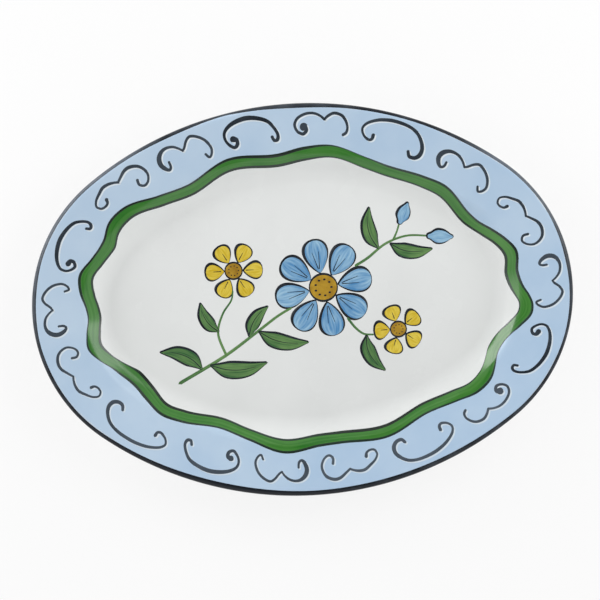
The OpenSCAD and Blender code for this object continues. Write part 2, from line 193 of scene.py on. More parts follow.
def noise(tree, place, scale, detail):
    return node(tree, "ShaderNodeTexNoise", {"Vector": place, "Scale": scale, "Detail": detail}).outputs[0]


def attribute(tree, name):
    return node(tree, "ShaderNodeAttribute", attribute_name=name).outputs["Fac"]


def geo(tree, kind, values=None, **settings):
    return node(tree, "GeometryNode" + kind, values, **settings).outputs[0]


def stored(tree, geometry, name, value, kind="FLOAT_VECTOR"):
    values = {"Geometry": geometry, "Name": name, "Value": value}
    return geo(tree, "StoreNamedAttribute", values, data_type=kind)


def moved(tree, geometry, **values):
    return geo(tree, "SetPosition", {"Geometry": geometry, **values})


def named(tree, name, kind="FLOAT_VECTOR"):
    return geo(tree, "InputNamedAttribute", {"Name": name}, data_type=kind)


def closeTree(tree, geometry, material, output, helpers):
    for name in helpers:
        geometry = geo(tree, "RemoveAttribute", {"Geometry": geometry, "Name": name})
    smooth = geo(tree, "SetShadeSmooth", {0: geometry})
    real = geo(tree, "RealizeInstances", {0: smooth})
    tree.links.new(geo(tree, "SetMaterial", {0: real, "Material": material}), output)


# sweeps a profile (x = inset, z = height) round the oval, and closes the middle if asked to
def makeOvalSweep():
    tree, given, result = newTree("ovalSweep", "GeometryNodeTree", [
        ("Geometry", "NodeSocketGeometry", None), ("Length", "NodeSocketFloat", 0.4),
        ("Width", "NodeSocketFloat", 0.29), ("Around", "NodeSocketInt", 600),
        ("Middle", "NodeSocketBool", False), ("Middle Inset", "NodeSocketFloat", 0.1),
        ("Top", "NodeSocketFloat", 0.009), ("Bottom", "NodeSocketFloat", 0.002),
        ("Material", "NodeSocketMaterial", None)], [("Geometry", "NodeSocketGeometry")])
    unit = calc(tree, "MULTIPLY", calc(tree, "SUBTRACT", given["Length"], given["Width"]), 0.25)
    small = calc(tree, "SUBTRACT", calc(tree, "MULTIPLY", given["Width"], 0.5), unit)
    index = geo(tree, "InputIndex")
    phi = calc(tree, "MULTIPLY", calc(tree, "DIVIDE", index, given["Around"]), math.tau)
    c, s = calc(tree, "COSINE", phi), calc(tree, "SINE", phi)
    onEnd = calc(tree, "LESS_THAN", calc(tree, "ABSOLUTE", s), 0.8)
    onSide = calc(tree, "SUBTRACT", 1.0, onEnd)
    radius = calc(tree, "MULTIPLY_ADD", calc(tree, "MULTIPLY", unit, 5.0), onSide, small)
    endSign = calc(tree, "MULTIPLY", calc(tree, "SIGN", c), onEnd)
    sideSign = calc(tree, "MULTIPLY", calc(tree, "SIGN", s), onSide)
    centreX = calc(tree, "MULTIPLY", endSign, calc(tree, "MULTIPLY", unit, 3.0))
    centreY = calc(tree, "MULTIPLY", sideSign, calc(tree, "MULTIPLY", unit, -4.0))
    outward = xyz(tree, c, s)
    edge = vec(tree, "ADD", xyz(tree, centreX, centreY), scaled(tree, outward, radius))
    ring = geo(tree, "MeshCircle", {"Vertices": given["Around"]}, fill_type="NONE")
    ring = stored(tree, ring, "outward", outward)
    ring = moved(tree, ring, Position=edge)
    path = geo(tree, "MeshToCurve", {0: ring})
    path = stored(tree, path, "edgePoint", geo(tree, "InputPosition"))
    profile = stored(tree, given["Geometry"], "profilePoint", geo(tree, "InputPosition"))
    profile = geo(tree, "MeshToCurve", {0: profile})
    sweep = geo(tree, "CurveToMesh", {"Curve": path, "Profile Curve": profile})
    parts = node(tree, "ShaderNodeSeparateXYZ", {0: named(tree, "profilePoint")}).outputs
    inward = scaled(tree, named(tree, "outward"), calc(tree, "MULTIPLY", parts[0], -1.0))
    level = vec(tree, "ADD", named(tree, "edgePoint"), inward)
    place = vec(tree, "ADD", level, xyz(tree, 0.0, 0.0, parts[2]))
    sweep = moved(tree, sweep, Position=place)
    shift = scaled(tree, named(tree, "outward"), calc(tree, "MULTIPLY", given["Middle Inset"], -1.0))
    inner = moved(tree, path, Offset=shift)
    disc = geo(tree, "FillCurve", {0: inner}, mode="TRIANGLES")
    top = moved(tree, disc, Offset=xyz(tree, 0.0, 0.0, given["Top"]))
    under = moved(tree, disc, Offset=xyz(tree, 0.0, 0.0, given["Bottom"]))
    under = geo(tree, "FlipFaces", {0: under})
    both = node(tree, "GeometryNodeJoinGeometry")
    for piece in (under, top, sweep):
        tree.links.new(piece, both.inputs[0])
    welded = geo(tree, "MergeByDistance", {"Geometry": both.outputs[0], "Distance": 2e-6})
    choice = {"Switch": given["Middle"], "False": sweep, "True": welded}
    chosen = geo(tree, "Switch", choice, input_type="GEOMETRY")
    closeTree(tree, chosen, given["Material"], result[0], ("outward", "edgePoint", "profilePoint"))
    return tree


# a coat of paint in section: many points across its flat top, a few underneath,
# each with its share across (0 to 1) and its rise (-1 to 1)
def beadProfile(tree, across, under):
    ring = geo(tree, "MeshCircle", {"Vertices": calc(tree, "ADD", across, under)}, fill_type="NONE")
    index = geo(tree, "InputIndex")
    onTop = calc(tree, "LESS_THAN", index, across)
    last = calc(tree, "SUBTRACT", across, 1.0)
    top = calc(tree, "DIVIDE", index, last)
    low = calc(tree, "DIVIDE", calc(tree, "SUBTRACT", index, last), under + 1.0)
    low = calc(tree, "SUBTRACT", 1.0, low)
    share = calc(tree, "MULTIPLY_ADD", calc(tree, "SUBTRACT", top, low), onTop, low)
    swing = calc(tree, "ABSOLUTE", calc(tree, "MULTIPLY_ADD", share, 2.0, -1.0))
    rounded = calc(tree, "SQRT", calc(tree, "SUBTRACT", 1.0, calc(tree, "POWER", swing, 8.0)))
    rise = calc(tree, "SUBTRACT", calc(tree, "MULTIPLY", calc(tree, "ADD", rounded, 1.0), onTop), 1.0)
    ring = stored(tree, stored(tree, ring, "across", share, "FLOAT"), "rise", rise, "FLOAT")
    return geo(tree, "MeshToCurve", {0: ring})


# height of a coat over the glaze: its thickness on top, sunk into the glaze underneath
def coatLift(tree, thickness, sink=0.0005):
    rise = named(tree, "rise", "FLOAT")
    below = calc(tree, "MULTIPLY", calc(tree, "MINIMUM", rise, 0.0), sink)
    return calc(tree, "MULTIPLY_ADD", calc(tree, "MAXIMUM", rise, 0.0), thickness, below)


# drops paint on the platter from above
def laidOn(tree, geometry, platterObject, spot, lift):
    glazed = node(tree, "GeometryNodeObjectInfo", {"Object": platterObject}, transform_space="ORIGINAL")
    above = vec(tree, "ADD", spot, (0.0, 0.0, 0.2))
    ray = {"Target Geometry": glazed.outputs["Geometry"], "Source Position": above,
           "Ray Direction": (0.0, 0.0, -1.0), "Ray Length": 0.5}
    hit = node(tree, "GeometryNodeRaycast", ray).outputs["Hit Position"]
    place = vec(tree, "ADD", hit, xyz(tree, 0.0, 0.0, lift))
    return moved(tree, geometry, Position=place)


# coat of colour between two lines round the rim
def makeRingCoat():
    tree, given, result = newTree("ringCoat", "GeometryNodeTree", [
        ("Geometry", "NodeSocketGeometry", None), ("Platter", "NodeSocketObject", None),
        ("Across", "NodeSocketInt", 24), ("Thickness", "NodeSocketFloat", 0.0001),
        ("Material", "NodeSocketMaterial", None)], [("Geometry", "NodeSocketGeometry")])
    path = geo(tree, "MeshToCurve", {0: given["Geometry"]})
    path = stored(tree, path, "edgePoint", geo(tree, "InputPosition"))
    bead = beadProfile(tree, given["Across"], 20)
    coat = geo(tree, "CurveToMesh", {"Curve": path, "Profile Curve": bead})
    inwards = scaled(tree, named(tree, "span"), named(tree, "across", "FLOAT"))
    spot = vec(tree, "ADD", named(tree, "edgePoint"), inwards)
    lift = coatLift(tree, given["Thickness"])
    coat = laidOn(tree, coat, given["Platter"], spot, lift)
    coat = geo(tree, "FlipFaces", {0: coat})  # the line's direction leaves them inwards
    closeTree(tree, coat, given["Material"], result[0], ("edgePoint", "span", "rise"))
    return tree


# paint wrapped round the lip, from its own top angle to the outside
def makeLipWrap():
    tree, given, result = newTree("lipWrap", "GeometryNodeTree", [
        ("Geometry", "NodeSocketGeometry", None), ("Radius", "NodeSocketFloat", 0.00325),
        ("Last Angle", "NodeSocketFloat", -0.8), ("Across", "NodeSocketInt", 24),
        ("Thickness", "NodeSocketFloat", 0.00015), ("Material", "NodeSocketMaterial", None)],
        [("Geometry", "NodeSocketGeometry")])
    path = geo(tree, "MeshToCurve", {0: given["Geometry"]})
    path = stored(tree, path, "edgePoint", geo(tree, "InputPosition"))
    bead = beadProfile(tree, given["Across"], 20)
    coat = geo(tree, "CurveToMesh", {"Curve": path, "Profile Curve": bead})
    first = named(tree, "topAngle", "FLOAT")
    whole = calc(tree, "SUBTRACT", given["Last Angle"], first)
    turn = calc(tree, "MULTIPLY_ADD", whole, named(tree, "across", "FLOAT"), first)
    radius = calc(tree, "ADD", coatLift(tree, given["Thickness"]), given["Radius"])
    out = scaled(tree, named(tree, "outward"), calc(tree, "MULTIPLY", calc(tree, "COSINE", turn), radius))
    up = xyz(tree, 0.0, 0.0, calc(tree, "MULTIPLY", calc(tree, "SINE", turn), radius))
    place = vec(tree, "ADD", named(tree, "edgePoint"), vec(tree, "ADD", out, up))
    coat = moved(tree, coat, Position=place)
    closeTree(tree, coat, given["Material"], result[0], ("edgePoint", "outward", "topAngle", "rise"))
    return tree


# brush stroke through its points, with a half width at each and round tips
def makeBrushStroke():
    tree, given, result = newTree("brushStroke", "GeometryNodeTree", [
        ("Geometry", "NodeSocketGeometry", None), ("Platter", "NodeSocketObject", None),
        ("Spacing", "NodeSocketFloat", 0.0004), ("Across", "NodeSocketInt", 10),
        ("Thickness", "NodeSocketFloat", 0.0001), ("Material", "NodeSocketMaterial", None)],
        [("Geometry", "NodeSocketGeometry")])
    line = geo(tree, "MeshToCurve", {0: given["Geometry"]})
    line = geo(tree, "CurveSplineType", {0: line}, spline_type="CATMULL_ROM")
    line = geo(tree, "ResampleCurve", {"Curve": line, "Length": given["Spacing"]}, mode="LENGTH")
    spline = node(tree, "GeometryNodeSplineParameter").outputs
    whole = node(tree, "GeometryNodeSplineLength").outputs["Length"]
    toTip = calc(tree, "MINIMUM", spline["Length"], calc(tree, "SUBTRACT", whole, spline["Length"]))
    half = calc(tree, "MAXIMUM", named(tree, "halfWidth", "FLOAT"), 1e-5)
    short = calc(tree, "SUBTRACT", 1.0, calc(tree, "MINIMUM", calc(tree, "DIVIDE", toTip, half), 1.0))
    roundTip = calc(tree, "SQRT", calc(tree, "SUBTRACT", 1.0, calc(tree, "MULTIPLY", short, short)))
    tangent = geo(tree, "InputTangent")
    side = vec(tree, "NORMALIZE", vec(tree, "CROSS_PRODUCT", tangent, (0.0, 0.0, 1.0)))
    line = stored(tree, line, "reach", scaled(tree, side, calc(tree, "MULTIPLY", half, roundTip)))
    line = stored(tree, line, "drawn", spline["Factor"], "FLOAT")
    line = stored(tree, line, "edgePoint", geo(tree, "InputPosition"))
    bead = beadProfile(tree, given["Across"], 2)
    stroke = geo(tree, "CurveToMesh", {"Curve": line, "Profile Curve": bead, "Fill Caps": True})
    swing = calc(tree, "MULTIPLY_ADD", named(tree, "across", "FLOAT"), 2.0, -1.0)
    spot = vec(tree, "ADD", named(tree, "edgePoint"), scaled(tree, named(tree, "reach"), swing))
    lift = coatLift(tree, given["Thickness"])
    stroke = laidOn(tree, stroke, given["Platter"], spot, lift)
    stroke = geo(tree, "MergeByDistance", {"Geometry": stroke, "Distance": 1e-6})
    closeTree(tree, stroke, given["Material"], result[0], ("edgePoint", "reach", "halfWidth", "rise"))
    return tree


ovalSweep, ringCoat = makeOvalSweep(), makeRingCoat()
lipWrap, brushStroke = makeLipWrap(), makeBrushStroke()
print("node trees made")


# open or closed lines as a mesh of edges, with values at the points
def lineMesh(name, lines, closed=False, **values):
    points, edges = [], []
    for line in lines:
        first = len(points)
        points += [tuple(p) for p in line]
        edges += [(i, i + 1) for i in range(first, len(points) - 1)]
        if closed:
            edges.append((len(points) - 1, first))
    mesh = bpy.data.meshes.new(name)
    mesh.from_pydata(points, edges, [])
    for label, rows in values.items():
        vector = hasattr(rows[0], "__len__")
        slot = mesh.attributes.new(label, "FLOAT_VECTOR" if vector else "FLOAT", "POINT")
        flat = [x for row in rows for x in row] if vector else rows
        slot.data.foreach_set("vector" if vector else "value", flat)
    piece = bpy.data.objects.new(name, mesh)
    scene.collection.objects.link(piece)
    return piece


# runs a node tree on a piece, keeps the plain mesh and hands it to the frame
def finishPiece(piece, tree, inputs, slot, *nodes):
    modifier = piece.modifiers.new(tree.name, "NODES")
    modifier.node_group = tree
    for item in tree.interface.items_tree:
        if item.in_out == "INPUT" and item.name in inputs:
            modifier[item.identifier] = inputs[item.name]
    plain = bpy.data.meshes.new_from_object(piece.evaluated_get(bpy.context.evaluated_depsgraph_get()))
    piece.modifiers.clear()
    lines = piece.data
    piece.data = plain
    plain.name = piece.name
    bpy.data.meshes.remove(lines)
    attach(piece, "root")
    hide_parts(*nodes)
    print(piece.name, len(plain.polygons), "faces")
    return piece


# shared surface of the glaze: slow waves, fine orange peel, uneven gloss
def makeGlazeSkin():
    tree, given, result = newTree("glazeSkin", "ShaderNodeTree", [
        ("Wave Scale", "NodeSocketFloat", 55.0), ("Peel Scale", "NodeSocketFloat", 900.0),
        ("Peel", "NodeSocketFloat", 0.12), ("Gloss Low", "NodeSocketFloat", 0.08),
        ("Gloss High", "NodeSocketFloat", 0.16)],
        [("Height", "NodeSocketFloat"), ("Roughness", "NodeSocketFloat")])
    place = node(tree, "ShaderNodeTexCoord").outputs["Object"]
    wave = noise(tree, place, given["Wave Scale"], 1.0)
    peel = noise(tree, place, given["Peel Scale"], 2.0)
    height = calc(tree, "MULTIPLY_ADD", peel, given["Peel"], wave)
    patchy = noise(tree, place, 30.0, 4.0)
    gloss = node(tree, "ShaderNodeMapRange", {"Value": patchy, "From Min": 0.3, "From Max": 0.7,
                 "To Min": given["Gloss Low"], "To Max": given["Gloss High"]}).outputs[0]
    tree.links.new(height, result["Height"])
    tree.links.new(gloss, result["Roughness"])
    return tree


evenLoad = 0.5  # share of thick colour where a piece says nothing else


# colour laid with a wet brush: thin and thick places, and streaks along a stroke
def makeBrushWash():
    tree, given, result = newTree("brushWash", "ShaderNodeTree", [
        ("Thin", "NodeSocketColor", (0.5, 0.5, 0.5, 1)), ("Thick", "NodeSocketColor", (0.3, 0.3, 0.3, 1)),
        ("Streak Place", "NodeSocketVector", None), ("Streaks", "NodeSocketFloat", 0.5),
        ("Cloud Scale", "NodeSocketFloat", 40.0), ("Uneven", "NodeSocketFloat", 1.6),
        ("Load", "NodeSocketFloat", evenLoad)], [("Color", "NodeSocketColor")])
    place = node(tree, "ShaderNodeTexCoord").outputs["Object"]
    cloud = noise(tree, place, given["Cloud Scale"], 3.0)
    streak = noise(tree, given["Streak Place"], 1.0, 2.0)
    streak = calc(tree, "MULTIPLY", calc(tree, "SUBTRACT", streak, 0.5), given["Streaks"])
    share = calc(tree, "ADD", calc(tree, "SUBTRACT", cloud, 0.5), streak)
    share = calc(tree, "MULTIPLY_ADD", share, given["Uneven"], given["Load"])
    share = node(tree, "ShaderNodeClamp", {0: share}).outputs[0]
    mixed = node(tree, "ShaderNodeMix", {0: share, 6: given["Thin"], 7: given["Thick"]}, data_type="RGBA")
    tree.links.new(mixed.outputs[2], result["Color"])
    return tree


glazeSkin, brushWash = makeGlazeSkin(), makeBrushWash()


def linear(colour):
    return [(x / 255 / 12.92 if x <= 10 else ((x / 255 + 0.055) / 1.055) ** 2.4) for x in colour] + [1.0]


# glossy fired surface, with its colour from brushWash and its skin from glazeSkin
def firedMaterial(name, thin, thick, cloud=40.0, uneven=1.6, streaks=0.0, streakAxes=None, loadName=None,
                  paintedLight=None, gloss=(0.13, 0.21), shine=0.5, peel=0.12, bump=0.02):
    material = bpy.data.materials.new(name)
    material.use_nodes = True
    tree = material.node_tree
    shader = tree.nodes["Principled BSDF"]
    shader.inputs["Specular IOR Level"].default_value = shine
    wash = node(tree, "ShaderNodeGroup", {"Thin": linear(thin), "Thick": linear(thick), "Streaks": streaks,
                "Cloud Scale": cloud, "Uneven": uneven}, node_tree=brushWash)
    if streakAxes:  # attribute along the stroke, attribute across it, and their scales
        runName, runScale, acrossName, acrossScale = streakAxes
        run = calc(tree, "MULTIPLY", attribute(tree, runName), runScale)
        wide = calc(tree, "MULTIPLY", attribute(tree, acrossName), acrossScale)
        tree.links.new(xyz(tree, run, wide), wash.inputs["Streak Place"])
    if loadName:  # attribute that says how much colour the brush still held
        tree.links.new(attribute(tree, loadName), wash.inputs["Load"])
    if paintedLight:  # painted light and shade: the colour slowly turns lighter or darker along x and y, per metre, standing in for light that falls unevenly
        place = node(tree, "ShaderNodeTexCoord").outputs["Object"]
        parts = node(tree, "ShaderNodeSeparateXYZ", {0: place}).outputs
        slow = calc(tree, "MULTIPLY_ADD", parts[1], paintedLight[1], evenLoad)
        slow = calc(tree, "MULTIPLY_ADD", parts[0], paintedLight[0], slow)
        tree.links.new(slow, wash.inputs["Load"])
    skin = node(tree, "ShaderNodeGroup", {"Peel": peel, "Gloss Low": gloss[0], "Gloss High": gloss[1]},
                node_tree=glazeSkin)
    height = skin.outputs["Height"]
    relief = node(tree, "ShaderNodeBump", {"Strength": bump, "Distance": 0.01, "Height": height})
    tree.links.new(wash.outputs["Color"], shader.inputs["Base Color"])
    tree.links.new(skin.outputs["Roughness"], shader.inputs["Roughness"])
    tree.links.new(relief.outputs[0], shader.inputs["Normal"])
    return material


brushed = dict(streaks=1.5, streakAxes=("drawn", 1.5, "across", 9))
# painted light and shade: the white is made paler towards the top and left and darker towards the bottom and
# right
whiteGlaze = firedMaterial("whiteGlaze", (235, 237, 236), (221, 223, 222), cloud=22, uneven=0.8, shine=0.15,
                           gloss=(0.2, 0.3), paintedLight=(0.8, -2.5))
bareClay = firedMaterial("bareClay", (226, 218, 200), (196, 184, 162), cloud=300, gloss=(0.7, 0.9), peel=0.8,
                         bump=0.05)
# painted light and shade: the blue is made paler towards the left and top and deeper towards the right and
# bottom
rimBlue = firedMaterial("rimBlue", (190, 210, 229), (172, 197, 222), cloud=26, shine=0.3, paintedLight=(1.6, -1.2))
bandGreen = firedMaterial("bandGreen", (70, 131, 52), (28, 106, 14), cloud=30, shine=0.6, streaks=1.2,
                          streakAxes=("run", 14, "across", 5))
outlineInk = firedMaterial("outlineInk", (44, 68, 56), (6, 28, 14), cloud=70, shine=0.55, uneven=0.7,
                           loadName="load")
lipInk = firedMaterial("lipInk", (128, 138, 150), (22, 27, 34), cloud=90, shine=0.25, uneven=0.4,
                       loadName="load")
scrollInk = firedMaterial("scrollInk", (96, 107, 119), (24, 32, 40), cloud=60, shine=0.3, uneven=0.7,
                          loadName="load")
sprayInk = firedMaterial("sprayInk", (44, 50, 58), (14, 17, 22), cloud=60, shine=0.25)
# painted light and shade: the white print beside the scrolls is made paler towards the top and darker
# towards the bottom
printWhite = firedMaterial("printWhite", (222, 231, 238), (204, 217, 229), cloud=90, uneven=0.8,
                           paintedLight=(0.0, -3.0))
leafGreen = firedMaterial("leafGreen", (108, 146, 86), (44, 92, 52), cloud=45, **brushed)
petalBlue = firedMaterial("petalBlue", (158, 196, 220), (78, 136, 186), cloud=45, **brushed)
petalYellow = firedMaterial("petalYellow", (226, 204, 84), (200, 168, 22), cloud=55, **brushed)
eyeOchre = firedMaterial("eyeOchre", (196, 158, 48), (142, 104, 22), cloud=160)
print("materials made")


# the glazed platter itself, one closed skin from the floor over the lip to the underside
def makePlatterBody():
    lift = platter["glaze"]
    middle = floorInset - platter["middle"]
    steps = platter["floorSteps"]
    floor = [Vector((middle * (1 - i / (steps + 1)), lift)) for i in range(steps + 1)]
    lip = lipArc(lipRadius + lift, rimTilt + 90, rimTilt - 90, platter["lipSteps"])[1:]
    back = faceLine(-platter["clay"] - lift)[-2::-2]
    under = [Vector((middle * i / steps, -platter["clay"] - lift)) for i in range(steps + 1)]
    profile = floor + faceLine(lift) + lip + back + under
    piece = lineMesh("platterBody", [[toInset(spot) for spot in profile]])
    return finishPiece(piece, ovalSweep, {
        "Length": platter["length"] * mm, "Width": platter["width"] * mm, "Around": platter["around"],
        "Middle": True, "Middle Inset": platter["middle"] * mm, "Top": (floorHeight + lift) * mm,
        "Bottom": (platter["foot"] - lift) * mm, "Material": whiteGlaze,
    }, "white_glaze", "clay_body", "face_glaze", "back_glaze_skirt", "back_glaze_centre")


# ring that the platter stands on, left bare and ground flat
footRing = dict(setback=4, face=4, flare=1, edge=0.4, upright=0.5, around=360)


def makeFootRing():
    outer, inner = -footRing["setback"], -footRing["setback"] - footRing["face"] - 2 * footRing["flare"]
    top, low, flare, edge = -platter["clay"], -floorHeight, footRing["flare"], footRing["edge"]
    bend = top - footRing["upright"]
    profile = [(outer, top), (outer, bend), (outer - flare + edge * 0.3, low + edge)]
    profile += [(outer - flare - edge * 0.2, low + edge * 0.3), (outer - flare - edge, low)]
    profile += [(inner + flare + edge, low), (inner + flare + edge * 0.2, low + edge * 0.3)]
    profile += [(inner + flare - edge * 0.3, low + edge), (inner, bend), (inner, top)]
    piece = lineMesh("footRing", [[toInset(Vector(spot)) for spot in profile]], closed=True)
    return finishPiece(piece, ovalSweep, {
        "Length": platter["length"] * mm, "Width": platter["width"] * mm, "Around": footRing["around"],
        "Material": bareClay,
    }, "clay", "foot_ring")


body = makePlatterBody()
makeFootRing()


# wavy green band: direction, distance inwards from the shoulder, width
# its outlines: direction, width, load of ink; tucks are how far a colour runs on under the next one
waveBand = dict(
    rows=[
        (0, 4.4, 6.7), (8, 7, 5.8), (20, 3.6, 6.1), (28, 6.5, 5.4), (36, 10.2, 5.3), (45, 13, 4.9),
        (51, 13, 5.7), (60, 5.1, 6.4), (64, 5.3, 5.7), (72, 6, 5.5), (76, 3.9, 6.6), (83, -1.1, 7.2),
        (88, 1.3, 6.4), (93, 4.7, 5), (103, 1.2, 6), (112, 7.8, 5.5), (118, 4.8, 5.4), (125, -1.6, 6.8),
        (132, 0.4, 7.7), (140, 5.4, 7.4), (145, 5.7, 6.7), (152, 4.3, 6.5), (162, 0.9, 7.2),
        (170, 3.8, 7.5), (178, 7.7, 7), (184, 8.6, 7.1), (192, 5.9, 7.8), (200, 3.5, 7.4),
        (208, 6.6, 7.2), (216, 10.8, 6.5), (222, 12.8, 7), (228, 13.6, 6.9), (232, 13.1, 6.7),
        (236, 9.6, 6.8), (240, 4.6, 5.8), (244, 5.6, 5.8), (252, 9.8, 5.4), (258, 6, 5.3),
        (265, 0.3, 7.2), (272, 3.9, 5.6), (276, 3.9, 5.1), (285, 0.4, 5.9), (294, 5, 5.5),
        (300, 2.1, 6.4), (304, -0.6, 7), (310, 2.2, 8.2), (315, 5.4, 7.8), (320, 8.5, 7.1),
        (327, 9.4, 6.6), (333, 7.7, 6.5), (340, 3.3, 6.5), (348, -2.1, 7.9), (352, -1.7, 8),
        (356, 1.2, 8),
    ],
    outerRows=[
        (0, 2.1, 0.45), (20, 2.3, 0.85), (35, 2, 0.75), (50, 1.5, 0.65), (60, 1.9, 0.6), (70, 1.7, 0.5),
        (79, 0.7, 0.15), (90, 2.7, 1), (102, 2.2, 1), (112, 1.5, 0.65), (122, 1.8, 1), (135, 2, 0.85),
        (150, 1.7, 0.8), (170, 2.3, 0.75), (181, 1.3, 0.4), (190, 1, 0.3), (200, 1.7, 0.4),
        (210, 0.9, 0.2), (222, 1.8, 0.5), (232, 2.2, 0.6), (240, 2.2, 0.8), (250, 1.4, 0.45),
        (262, 2, 0.8), (275, 2.1, 0.7), (290, 1.7, 0.6), (300, 1.5, 0.5), (310, 2, 0.5), (317, 1.2, 0.3),
        (325, 0.8, 0.1), (334, 1, 0.2), (341, 2.1, 0.4), (352, 1.8, 0.6),
    ],
    innerRows=[
        (0, 1.9, 0.35), (12, 2.2, 0.6), (30, 1.9, 0.75), (40, 1.7, 0.65), (50, 1.7, 0.8), (62, 1.2, 0.45),
        (72, 1.1, 0.4), (80, 0.7, 0.3), (91, 2, 0.75), (105, 1.7, 0.7), (125, 1.8, 0.75), (145, 1.5, 0.5),
        (160, 1.7, 0.55), (175, 1.6, 0.6), (190, 1.7, 0.7), (200, 1.9, 0.5), (212, 1, 0.3),
        (221, 1.1, 0.3), (229, 2.3, 0.9), (236, 2.4, 1), (242, 2, 1), (255, 1.5, 0.5), (268, 1.6, 0.6),
        (280, 2.3, 1), (291, 1.9, 1), (301, 1.4, 0.5), (309, 0.6, 0.2), (325, 0.6, 0.1), (341, 1.2, 0.3),
        (351, 1, 0.3),
    ],
    points=720, thickness=0.035, lineThickness=0.06, blueThickness=0.02,
    greenAcross=36, lineAcross=9, blueAcross=110, tuck=0.3, lipTuck=0.4, leastInset=0.6,
)
# lip line: direction, width seen from above, load of ink
lipLine = dict(
    rows=[
        (0, 2.9, 0.9), (10, 3.2, 0.9), (20, 2.8, 0.85), (30, 2.3, 0.65), (40, 2.4, 0.65), (50, 2.5, 0.5),
        (60, 2.8, 0.9), (70, 2.5, 1), (80, 2.8, 0.95), (90, 3.7, 0.85), (98, 2.3, 0.85),
        (101.5, 1.7, 0.8), (104, 2, 0.85), (109, 2.9, 0.95), (120, 2.6, 0.6), (140, 2.7, 0.6),
        (150, 2.7, 0.65), (160, 2.8, 0.7), (170, 3.2, 0.8), (180, 3.2, 0.85), (190, 2.9, 0.85),
        (200, 3.1, 0.95), (220, 3, 1), (240, 3.4, 1.05), (255, 4.4, 1.05), (270, 3.7, 1.05),
        (280, 3.9, 1), (300, 3.4, 0.95), (315, 2.8, 0.95), (330, 2.7, 0.95), (345, 2.5, 0.9),
    ],
    lastAngle=-35, thickness=0.15, across=22,
)
directions = [lookUp(rimLength * i / waveBand["points"], runKnots, 1) for i in range(waveBand["points"])]


def bandEdge(phi, side):
    return shoulderInset + eased(waveBand["rows"], phi) + side * eased(waveBand["rows"], phi, 2) / 2


def outlineEdge(phi, side):
    rows = waveBand["outerRows"] if side < 0 else waveBand["innerRows"]
    return bandEdge(phi, side) + side * eased(rows, phi)


def lipInner(phi):
    return eased(lipLine["rows"], phi)


def blueEdge(phi):
    return max(lipInner(phi) - waveBand["lipTuck"], waveBand["leastInset"])


def greenEdge(phi, side):
    return bandEdge(phi, side) + side * waveBand["tuck"]


def makeRing(name, outerAt, innerAt, material, slot, cadNode, thickness, across, loadRows=None):
    outer = [rimPoint(phi, outerAt(phi)) for phi in directions]
    inner = [rimPoint(phi, innerAt(phi)) for phi in directions]
    spans = [(b - a).to_3d() * mm for a, b in zip(outer, inner)]
    run = [rimLength * i / len(directions) * mm for i in range(len(directions))]
    load = [eased(loadRows, phi, 2) if loadRows else evenLoad for phi in directions]
    piece = lineMesh(name, [[p.to_3d() * mm for p in outer]], closed=True, span=spans, run=run, load=load)
    return finishPiece(piece, ringCoat, {
        "Platter": body, "Across": across, "Thickness": thickness * mm, "Material": material,
    }, slot, cadNode)


makeRing("rimColour", blueEdge, lambda phi: bandEdge(phi, 0), rimBlue, "rim_blue", "blue_rim_colour",
         waveBand["blueThickness"], waveBand["blueAcross"])
makeRing("waveGreen", lambda phi: greenEdge(phi, -1), lambda phi: greenEdge(phi, 1), bandGreen, "band_green",
         "green_wave_band", waveBand["thickness"], waveBand["greenAcross"])
makeRing("waveOutlineOuter", lambda phi: outlineEdge(phi, -1), lambda phi: bandEdge(phi, -1), outlineInk,
         "ink_dark", "wave_outline_outer", waveBand["lineThickness"], waveBand["lineAcross"],
         waveBand["outerRows"])
makeRing("waveOutlineInner", lambda phi: bandEdge(phi, 1), lambda phi: outlineEdge(phi, 1), outlineInk,
         "ink_dark", "wave_outline_inner", waveBand["lineThickness"], waveBand["lineAcross"],
         waveBand["innerRows"])


def makeLipLine():
    radius = lipRadius + platter["glaze"]
    centreInset = floorInset - lipMid.x
    height = Vector((0, 0, (floorHeight + lipMid.y) * mm))
    ring = [rimPoint(phi, centreInset).to_3d() * mm + height for phi in directions]
    top = [math.acos(min((centreInset - lipInner(phi)) / radius, 1)) for phi in directions]
    outward = [along(phi).to_3d() for phi in directions]
    load = [eased(lipLine["rows"], phi, 2) for phi in directions]
    piece = lineMesh("lipLine", [ring], closed=True, outward=outward, topAngle=top, load=load)
    return finishPiece(piece, lipWrap, {
        "Radius": radius * mm, "Last Angle": math.radians(lipLine["lastAngle"]),
        "Across": lipLine["across"], "Thickness": lipLine["thickness"] * mm, "Material": lipInk,
    }, "ink_dark", "lip_line")


makeLipLine()
print("rim colours laid")


